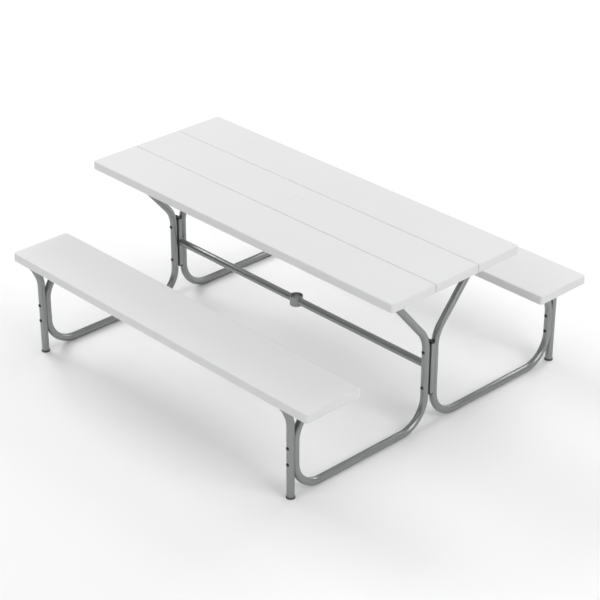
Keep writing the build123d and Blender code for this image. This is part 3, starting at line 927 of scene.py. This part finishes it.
for end_name, end in ends:
    outline = channel_outline(end * frame_x)
    rings = [[(x, y, z) for x, z in outline] for y in (-rail_half_length, rail_half_length)]
    rail_mesh = lofted(f"top_rail_{end_name}_channel", rings)
    in_frame(softened(stood(rail_mesh), rail_edge), f"top_rail_{end_name}", crease=32)

# ---------------------------------------------------------------------------------------------
# Seat straps. A flat bar of 5 mm steel with rounded corners lies across the cut ends of a riser
# and its bench leg, welded to both, and takes the two seat screws of that end.
strap_half_width = 0.020
strap_inner_y = 0.556
strap_outer_y = 0.806
strap_corner = 0.006
strap_edge = 0.0008


def strap_ring(x, y, inset, z):
    """Points round a strap with rounded corners, drawn in by an inset, at a height."""
    half_length = (strap_outer_y - strap_inner_y) / 2
    spots = []
    for step in range(28):
        quarter, part = divmod(step, 7)
        turn = radians(90 * quarter + 90 * part / 6)
        side_x = 1 if quarter in (0, 3) else -1
        side_y = 1 if quarter in (0, 1) else -1
        reach = strap_corner - inset
        spot_x = side_x * (strap_half_width - strap_corner) + reach * cos(turn)
        spot_y = side_y * (half_length - strap_corner) + reach * sin(turn)
        spots.append((x + spot_x, y + spot_y, z))
    return spots


for end_name, end in ends:
    for side_name, side in sides:
        strap_middle = (end * frame_x, side * (strap_inner_y + strap_outer_y) / 2)
        levels = [
            (strap_edge, seat_tube_top),
            (strap_edge * 0.3, seat_tube_top + strap_edge * 0.3),
            (0.0, seat_tube_top + strap_edge),
            (0.0, seat_underside - strap_edge),
            (strap_edge * 0.3, seat_underside - strap_edge * 0.3),
            (strap_edge, seat_underside),
        ]
        node = f"seat_strap_{end_name}_{side_name}"
        strap_rings = [strap_ring(*strap_middle, *level) for level in levels]
        strap_mesh = lofted(node + "_bar", strap_rings)
        in_frame(stood(strap_mesh), node, crease=32)

# ---------------------------------------------------------------------------------------------
# Welds. Every tube end is run round with a bead of weld under the paint: at the rails and seat
# straps above, and where the stretchers meet the posts and the umbrella ring.
ring_radius = 0.0285
stretcher_z = 0.272
post_half_depth = 0.019
whole_turn = (0, 351)
clear_of_strap_end = (42, 318)
over_post_face = 33

bead_tree, given, result = new_tree(
    "GeometryNodeTree",
    "weld bead",
    [
        ("Seam", "Geometry", None),
        ("Bead", "Float", 0.0019),
        ("Ripple", "Float", 0.12),
        ("Pitch", "Float", 0.0022),
        ("Paint", "Material", None),
    ],
    [("Beads", "Geometry")],
)
seam = wire(bead_tree, "GeometryNodeMeshToCurve", {"Mesh": given["Seam"]})[0]
bead_step = calc(bead_tree, "DIVIDE", given["Pitch"], 4.0)
seam = wire(
    bead_tree, "GeometryNodeResampleCurve", {"Curve": seam, "Length": bead_step}, mode="LENGTH"
)[0]
travelled = wire(bead_tree, "GeometryNodeSplineParameter", {})["Length"]
phase = calc(bead_tree, "MULTIPLY", calc(bead_tree, "DIVIDE", travelled, given["Pitch"]), 2 * pi)
ripple = calc(bead_tree, "MULTIPLY", calc(bead_tree, "SINE", phase), given["Ripple"])
thickness = {"Curve": seam, "Radius": calc(bead_tree, "ADD", ripple, 1.0)}
seam = wire(bead_tree, "GeometryNodeSetCurveRadius", thickness)[0]
bead = swept(bead_tree, seam, circle(bead_tree, 10, given["Bead"]), caps=True)
handed_out(bead_tree, bead, given["Paint"], result["Beads"])

seam_places = []
seam_runs = []


def add_seam(places, closed):
    """Adds one run of weld through its places."""
    first = len(seam_places)
    seam_places.extend(places)
    seam_runs.extend((first + step, first + step + 1) for step in range(len(places) - 1))
    if closed:
        seam_runs.append((first + len(places) - 1, first))


def arc_angles(start, end, steps):
    """Angles from a start to an end, both included."""
    return [radians(start + (end - start) * step / steps) for step in range(steps + 1)]


def leaning_seam(x, y, side, z, lean, turns):
    """The seam round a leaning tube where it meets a flat plate."""
    stretch = 1 / cos(radians(lean))
    spots = []
    for turn in arc_angles(*turns, 40):
        across = tube_radius * sin(turn)
        out = tube_radius * stretch * cos(turn)
        spots.append((x + across, side * (y + out), z))
    return spots


for _, end in ends:
    x = end * frame_x
    for _, side in sides:
        rail_y = column_y + (splay_top - splay_corner) * splay_slope
        top_seam = leaning_seam(x, rail_y, side, splay_top, splay_angle, whole_turn)
        add_seam(top_seam, True)
        riser_top_y = riser_y - (seat_tube_top - riser_corner) * riser_lean
        top_seam = leaning_seam(x, riser_top_y, side, seat_tube_top, riser_angle, whole_turn)
        add_seam(top_seam, True)
        leg_top_y = bench_leg_y + (seat_tube_top - flare_corner) * flare_slope
        top_seam = leaning_seam(
            x, leg_top_y, side, seat_tube_top, flare_angle, clear_of_strap_end
        )
        add_seam(top_seam, False)
    post_x = end * (frame_x - post_half_depth)
    for middle_angle in (90, 270):
        butted = []
        for turn in arc_angles(middle_angle - over_post_face, middle_angle + over_post_face, 12):
            out = tube_radius * cos(turn)
            butted.append((post_x, out, stretcher_z + tube_radius * sin(turn)))
        add_seam(butted, False)
    coped = []
    for turn in arc_angles(*whole_turn, 40):
        out = tube_radius * cos(turn)
        ring_x = end * sqrt(ring_radius**2 - out**2)
        coped.append((ring_x, out, stretcher_z + tube_radius * sin(turn)))
    add_seam(coped, True)

seam_base = base_points("weld_beads_seams", seam_places, seam_runs)
welds = settle(grown("weld_beads", seam_base, bead_tree, {"Paint": frame_paint}), crease=50)
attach(welds, "table")

# ---------------------------------------------------------------------------------------------
# Bolts. Low round heads of black-finished steel with a hexagon socket, four through the columns
# and eight through the risers and bench legs. Each head is saddled to the tube it bears on.
bolt_radius = 0.004
bolt_head_radius = 0.0074
bolt_head_rise = 0.0022
bolt_head_skirt = 0.0020
bolt_head_round = 0.0015
socket_radius = 0.0025
socket_depth = 0.0015
tip_recess = 0.0006
tip_chamfer = 0.0005
column_bolt_z = (0.188, 0.352)
bench_bolt_z = (0.155, 0.228)
column_face = column_y + tube_radius
column_grip = 2 * column_face
bench_inner_face = riser_y - tube_radius
bench_outer_face = bench_leg_y + tube_radius
bench_grip = bench_outer_face - bench_inner_face


def saddled(radius, steps=24):
    """Points round a circle that is laid on the side of a tube."""
    spots = []
    for x, y, _ in ring(radius, 0.0, steps=steps):
        spots.append((x, y, sqrt(tube_radius**2 - x**2) - tube_radius + 0.00005))
    return spots


def bolt_mesh(name, grip):
    """One bolt, head up, with the tube's face at height zero."""
    head_edge = bolt_head_radius - bolt_head_round
    return lofted(
        name,
        [
            ring(bolt_radius - tip_chamfer, tip_recess - grip),
            ring(bolt_radius, tip_recess - grip + tip_chamfer),
            ring(bolt_radius, -bolt_head_skirt),
            saddled(bolt_radius + 0.0002),
            saddled(bolt_head_radius),
            *rounding(head_edge, bolt_head_rise - bolt_head_round, bolt_head_round, 0, 90, 5),
            ring(socket_radius + 0.0003, bolt_head_rise, 6),
            ring(socket_radius, bolt_head_rise - 0.0003, 6),
            ring(socket_radius, bolt_head_rise - socket_depth, 6),
        ],
    )


black_steel = finish("black oxide steel", (0.010, 0.010, 0.011), grain=0.0006, depth=0.00005)
to_front = (radians(90), 0.0, 0.0)
column_places = [(end * frame_x, -column_face, z) for _, end in ends for z in column_bolt_z]
bench_places = [
    (end * frame_x, face, z)
    for _, end in ends
    for face in (-bench_outer_face, bench_inner_face)
    for z in bench_bolt_z
]
bolted = (("column", column_places, column_grip), ("bench", bench_places, bench_grip))
for group, places, grip in bolted:
    name = f"{group}_bolt_set"
    bolt = bolt_mesh(f"{group} bolt", grip)
    set_out(name, bolt, places, black_steel, [f"{group}_bolts"], to_front)

# ---------------------------------------------------------------------------------------------
# Threaded inserts. A zinc-plated steel bush is pressed into the last tube wall that each bolt
# passes, with a thin flange saddled to the tube; the bolt's tip ends just inside it.
insert_bore = 0.00405
insert_body = 0.0054
insert_flange = 0.0068
insert_rise = 0.0008
insert_depth = 0.015
insert_chamfer = 0.0004
flange_edge = 0.0003

zinc_steel = finish(
    "zinc plate",
    (0.50, 0.51, 0.52),
    amount=0.1,
    size=0.01,
    roughness=0.30,
    grain=0.0005,
    depth=0.00004,
    Metallic=1.0,
)
insert_mesh = lofted(
    "insert",
    [
        ring(insert_bore, -insert_depth + insert_rise),
        ring(insert_bore, insert_rise - insert_chamfer),
        ring(insert_bore + insert_chamfer, insert_rise),
        ring(insert_flange - flange_edge, insert_rise),
        ring(insert_flange, insert_rise - flange_edge),
        saddled(insert_flange),
        saddled(insert_body),
        ring(insert_body, -insert_depth + insert_rise),
    ],
    closed=True,
)
to_rear = (radians(-90), 0.0, 0.0)
for group, places, grip in bolted:
    name = f"{group}_insert_set"
    insert = insert_mesh.copy()
    far_places = [(x, y + grip, z) for x, y, z in places]
    set_out(name, insert, far_places, zinc_steel, [f"{group}_inserts"], to_rear)

# ---------------------------------------------------------------------------------------------
# Screws. Zinc-plated pan-head screws with a cross recess hold the planks to the rails and the
# seats to the straps, driven from below into solid bosses in the boards.
screw_radius = 0.003
screw_head_radius = 0.006
screw_head_height = 0.004
screw_head_round = 0.0025
screw_head_edge = 0.0003
screw_bite = 0.026
point_length = 0.005
point_radius = 0.0006
recess_depth = 0.002
recess_reach = 0.0026
recess_half_width = 0.00055
seat_screw_y = (0.585, 0.725)
plank_screw_offset = 0.060


def cross_ring(reach, half_width, z):
    """Points round a cross with four equal arms, at a height."""
    arm = [
        (reach, 0.0),
        (reach, half_width),
        ((reach + half_width) / 2, half_width),
        (half_width, half_width),
        (half_width, (reach + half_width) / 2),
        (half_width, reach),
    ]
    spots = []
    for quarter in range(4):
        c = round(cos(radians(90 * quarter)))
        s = round(sin(radians(90 * quarter)))
        spots += [(x * c - y * s, x * s + y * c, z) for x, y in arm]
    return spots


def screw_mesh(name, grip):
    """One screw, head up, with its bearing face at height zero."""
    tip = -(grip + screw_bite)
    head_edge = screw_head_radius - screw_head_round
    head_shoulder = screw_head_height - screw_head_round
    return lofted(
        name,
        [
            ring(point_radius, tip),
            ring(screw_radius, tip + point_length),
            ring(screw_radius, -0.0005),
            ring(screw_radius, 0.0),
            ring(screw_head_radius - screw_head_edge, 0.0),
            ring(screw_head_radius, screw_head_edge),
            *rounding(head_edge, head_shoulder, screw_head_round, 0, 90, 6),
            cross_ring(recess_reach, recess_half_width, screw_head_height),
            cross_ring(
                recess_reach * 0.6, recess_half_width * 0.8, screw_head_height - recess_depth
            ),
        ],
    )


downwards = (pi, 0.0, 0.0)
loose_turn = 1.5
plank_screw_places = [
    (end * frame_x, row * plank_pitch + offset, splay_top)
    for _, end in ends
    for row in (-1, 0, 1)
    for offset in (-plank_screw_offset, plank_screw_offset)
]
seat_screw_places = [
    (end * frame_x, side * y, seat_tube_top)
    for _, end in ends
    for _, side in sides
    for y in seat_screw_y
]
for group, places, grip in (
    ("plank", plank_screw_places, rail_wall),
    ("seat", seat_screw_places, strap_thickness),
):
    name = f"{group}_screw_set"
    nodes = [f"{group}_screws"]
    screw = screw_mesh(f"{group} screw", grip)
    set_out(name, screw, places, zinc_steel, nodes, downwards, loose_turn)

# ---------------------------------------------------------------------------------------------
# Umbrella hole plug. A thin round lid of the same white plastic lies flush on a ledge round the
# hole in the middle plank; a short skirt under it centres it, and it lifts straight out.
recolour("umbrella_hole_plug", board_plastic)

# ---------------------------------------------------------------------------------------------
# Floor and light. A white studio floor, with a large softbox high on each of the four sides and
# white cloth all round behind them.
floor_reach = 14
floor_corners = [(x * floor_reach, y * floor_reach, 0) for x, y in ((-1, -1), (1, -1), (1, 1), (-1, 1))]
floor_mesh = bpy.data.meshes.new("floor")
floor_mesh.from_pydata(floor_corners, [], [(0, 1, 2, 3)])
floor = bpy.data.objects.new("floor", floor_mesh)
scene.collection.objects.link(floor)
floor_paint = bpy.data.materials.new("floor paint")
floor_paint.use_nodes = True
floor_surface = floor_paint.node_tree.nodes["Principled BSDF"]
floor_surface.inputs["Base Color"].default_value = (0.86, 0.86, 0.86, 1.0)
floor_surface.inputs["Roughness"].default_value = 0.9
floor_surface.inputs["Specular IOR Level"].default_value = 0.0
# It is drawn on its upper side only, so that the table can be looked at from below.
from_below = wire(floor_paint.node_tree, "ShaderNodeNewGeometry", {})["Backfacing"]
drawn = calc(floor_paint.node_tree, "SUBTRACT", 1.0, from_below)
floor_paint.node_tree.links.new(drawn, floor_surface.inputs["Alpha"])
floor.data.materials.append(floor_paint)

world = bpy.data.worlds.new("studio")
world.use_nodes = True
# Shiny tube sees the room instead of the cloth: darker to the front and left, paler behind.
room_level = 0.27
room_change = 0.24
room_facing = (0.45, 0.89, 0.0)
cloth_level = 0.44
sky_tree = world.node_tree
sky = sky_tree.nodes["Background"].inputs
sky["Color"].default_value = (1.0, 1.0, 1.0, 1.0)
seen = wire(sky_tree, "ShaderNodeTexCoord", {})["Generated"]
facing = {0: seen, 1: room_facing}
toward = wire(sky_tree, "ShaderNodeVectorMath", facing, operation="DOT_PRODUCT")["Value"]
room = calc(sky_tree, "ADD", calc(sky_tree, "MULTIPLY", toward, room_change), room_level)
shiny = wire(sky_tree, "ShaderNodeLightPath", {})["Is Glossy Ray"]
change = calc(sky_tree, "MULTIPLY", shiny, calc(sky_tree, "SUBTRACT", room, cloth_level))
sky_tree.links.new(calc(sky_tree, "ADD", change, cloth_level), sky["Strength"])
scene.world = world


def softbox(name, place, target, size, power):
    """A square area light at a place, turned towards a target."""
    lamp = bpy.data.lights.new(name, "AREA")
    lamp.shape = "SQUARE"
    lamp.size = size
    lamp.energy = power
    box = bpy.data.objects.new(name, lamp)
    box.location = place
    aim = Vector(target) - Vector(place)
    box.rotation_euler = aim.to_track_quat("-Z", "Y").to_euler()
    box.visible_camera = False
    scene.collection.objects.link(box)


aim_point = (0.0, 0.0, 0.3)
softbox("right box", (5.5, 0.0, 4.0), aim_point, size=3.5, power=155.0)
softbox("rear box", (0.0, 5.5, 4.0), aim_point, size=3.5, power=177.0)
softbox("left box", (-5.5, 0.0, 4.0), aim_point, size=3.5, power=222.0)
softbox("front box", (0.0, -5.5, 4.0), aim_point, size=3.5, power=92.0)
